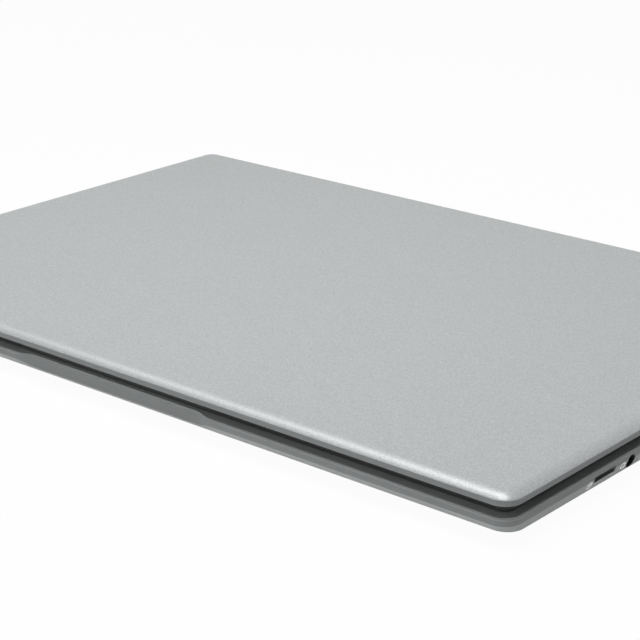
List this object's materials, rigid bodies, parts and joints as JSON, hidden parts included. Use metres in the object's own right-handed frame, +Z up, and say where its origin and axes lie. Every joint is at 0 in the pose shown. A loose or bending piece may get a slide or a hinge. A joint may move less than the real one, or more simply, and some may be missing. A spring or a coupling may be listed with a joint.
{
  "type": "laptop computer",
  "caption": "Thin wedge-shaped clamshell laptop computer, stored closed, with a hinged screen lid, keyboard, touchpad and side sockets.",
  "frame": {"origin": "on the table, under the middle of the closed laptop", "axes": "+X to the user's right, +Y from the front edge to the hinges, +Z up"},
  "size_m": [0.33, 0.2258, 0.0156],
  "materials": {
    "lid_metal": "satin, fine grain",
    "deck_metal": "satin",
    "bottom_metal": "satin",
    "bezel_plastic": "matt",
    "hinge_cover_plastic": "matt",
    "screen": "smooth",
    "backlight": "matt",
    "camera_glass": "smooth",
    "dark_plastic": "matt",
    "rubber": "matt",
    "antenna_metal": "satin",
    "steel": "satin",
    "screw_steel": "satin",
    "cable": "matt",
    "circuit_board": "solder mask",
    "copper": "satin",
    "battery_foil": "wrapped",
    "inner_metal": "satin",
    "touchpad_glass": "frosted",
    "key_plastic": "matt"
  },
  "bodies": {
    "base": {"battery_cells": "battery_foil", "bottom_cover": "bottom_metal", "bottom_screws": "screw_steel", "card_reader": "steel", "display_cable_base": "cable", "front_feet": "rubber", "headphone_socket": "dark_plastic", "heat_spreader": "copper", "hinge_base_left": "steel", "hinge_base_right": "steel", "hinge_base_screws": "screw_steel", "io_board": "circuit_board", "keyboard_plate": "inner_metal", "keyboard_ribbon": "cable", "motherboard": "circuit_board", "rear_feet": "rubber", "rubber_dome_sheet": "rubber", "speaker_left": "dark_plastic", "speaker_right": "dark_plastic", "ssd_module": "dark_plastic", "top_case": "deck_metal", "touchpad_frame": "inner_metal", "touchpad_ribbon": "cable", "usb_socket_front": "steel", "usb_socket_rear": "steel", "video_socket": "steel"},
    "lid": {"lid_cover": "lid_metal", "display_bezel": "bezel_plastic", "lcd_panel": "screen", "backlight_unit": "backlight", "camera_module": "dark_plastic", "camera_window": "camera_glass", "antennas": "antenna_metal", "lid_bumpers": "rubber", "hinge_cover": "hinge_cover_plastic", "hinge_lid_left": "steel", "hinge_lid_right": "steel", "hinge_pin_left": "steel", "hinge_pin_right": "steel", "hinge_lid_screws": "screw_steel", "display_cable_lid": "cable"},
    "touchpad": {"touchpad": "touchpad_glass"},
    "backspace_key": {"backspace_key": "key_plastic"},
    "caps_lock_key": {"caps_lock_key": "key_plastic"},
    "down_arrow_key": {"down_arrow_key": "key_plastic"},
    "enter_key": {"enter_key": "key_plastic"},
    "function_keys": {"function_keys": "key_plastic"},
    "home_letter_keys": {"home_letter_keys": "key_plastic"},
    "left_arrow_key": {"left_arrow_key": "key_plastic"},
    "left_shift_key": {"left_shift_key": "key_plastic"},
    "lower_letter_keys": {"lower_letter_keys": "key_plastic"},
    "modifier_keys": {"modifier_keys": "key_plastic"},
    "number_keys": {"number_keys": "key_plastic"},
    "power_key": {"power_key": "key_plastic"},
    "right_arrow_key": {"right_arrow_key": "key_plastic"},
    "right_shift_key": {"right_shift_key": "key_plastic"},
    "space_bar": {"space_bar": "key_plastic"},
    "tab_key": {"tab_key": "key_plastic"},
    "up_arrow_key": {"up_arrow_key": "key_plastic"},
    "upper_letter_keys": {"upper_letter_keys": "key_plastic"}
  },
  "joints": [
    {"name": "lid_hinge", "type": "hinge", "parent": "base", "child": "lid", "pos_m": [0, 0.1085, 0.01085], "axis": [-1, 0, 0], "range_deg": [0, 130]},
    {"name": "touchpad_click", "type": "hinge", "parent": "base", "child": "touchpad", "pos_m": [0, -0.0305, 0.0085], "axis": [1, 0, 0], "range_deg": [0, 0.35], "stiffness_Nm_per_rad": 16, "springref_deg": -0.17},
    {"name": "backspace_key_press", "type": "slide", "parent": "base", "child": "backspace_key", "axis": [0, 0, -1], "range_m": [0, 0.0012], "stiffness_N_per_m": 500, "springref_m": -0.0004},
    {"name": "caps_lock_key_press", "type": "slide", "parent": "base", "child": "caps_lock_key", "axis": [0, 0, -1], "range_m": [0, 0.0012], "stiffness_N_per_m": 500, "springref_m": -0.0004},
    {"name": "down_arrow_key_press", "type": "slide", "parent": "base", "child": "down_arrow_key", "axis": [0, 0, -1], "range_m": [0, 0.0012], "stiffness_N_per_m": 500, "springref_m": -0.0004},
    {"name": "enter_key_press", "type": "slide", "parent": "base", "child": "enter_key", "axis": [0, 0, -1], "range_m": [0, 0.0012], "stiffness_N_per_m": 500, "springref_m": -0.0004},
    {"name": "function_keys_press", "type": "slide", "parent": "base", "child": "function_keys", "axis": [0, 0, -1], "range_m": [0, 0.0012], "stiffness_N_per_m": 500, "springref_m": -0.0004},
    {"name": "home_letter_keys_press", "type": "slide", "parent": "base", "child": "home_letter_keys", "axis": [0, 0, -1], "range_m": [0, 0.0012], "stiffness_N_per_m": 500, "springref_m": -0.0004},
    {"name": "left_arrow_key_press", "type": "slide", "parent": "base", "child": "left_arrow_key", "axis": [0, 0, -1], "range_m": [0, 0.0012], "stiffness_N_per_m": 500, "springref_m": -0.0004},
    {"name": "left_shift_key_press", "type": "slide", "parent": "base", "child": "left_shift_key", "axis": [0, 0, -1], "range_m": [0, 0.0012], "stiffness_N_per_m": 500, "springref_m": -0.0004},
    {"name": "lower_letter_keys_press", "type": "slide", "parent": "base", "child": "lower_letter_keys", "axis": [0, 0, -1], "range_m": [0, 0.0012], "stiffness_N_per_m": 500, "springref_m": -0.0004},
    {"name": "modifier_keys_press", "type": "slide", "parent": "base", "child": "modifier_keys", "axis": [0, 0, -1], "range_m": [0, 0.0012], "stiffness_N_per_m": 500, "springref_m": -0.0004},
    {"name": "number_keys_press", "type": "slide", "parent": "base", "child": "number_keys", "axis": [0, 0, -1], "range_m": [0, 0.0012], "stiffness_N_per_m": 500, "springref_m": -0.0004},
    {"name": "power_key_press", "type": "slide", "parent": "base", "child": "power_key", "axis": [0, 0, -1], "range_m": [0, 0.0012], "stiffness_N_per_m": 500, "springref_m": -0.0004},
    {"name": "right_arrow_key_press", "type": "slide", "parent": "base", "child": "right_arrow_key", "axis": [0, 0, -1], "range_m": [0, 0.0012], "stiffness_N_per_m": 500, "springref_m": -0.0004},
    {"name": "right_shift_key_press", "type": "slide", "parent": "base", "child": "right_shift_key", "axis": [0, 0, -1], "range_m": [0, 0.0012], "stiffness_N_per_m": 500, "springref_m": -0.0004},
    {"name": "space_bar_press", "type": "slide", "parent": "base", "child": "space_bar", "axis": [0, 0, -1], "range_m": [0, 0.0012], "stiffness_N_per_m": 500, "springref_m": -0.0004},
    {"name": "tab_key_press", "type": "slide", "parent": "base", "child": "tab_key", "axis": [0, 0, -1], "range_m": [0, 0.0012], "stiffness_N_per_m": 500, "springref_m": -0.0004},
    {"name": "up_arrow_key_press", "type": "slide", "parent": "base", "child": "up_arrow_key", "axis": [0, 0, -1], "range_m": [0, 0.0012], "stiffness_N_per_m": 500, "springref_m": -0.0004},
    {"name": "upper_letter_keys_press", "type": "slide", "parent": "base", "child": "upper_letter_keys", "axis": [0, 0, -1], "range_m": [0, 0.0012], "stiffness_N_per_m": 500, "springref_m": -0.0004}
  ]
}
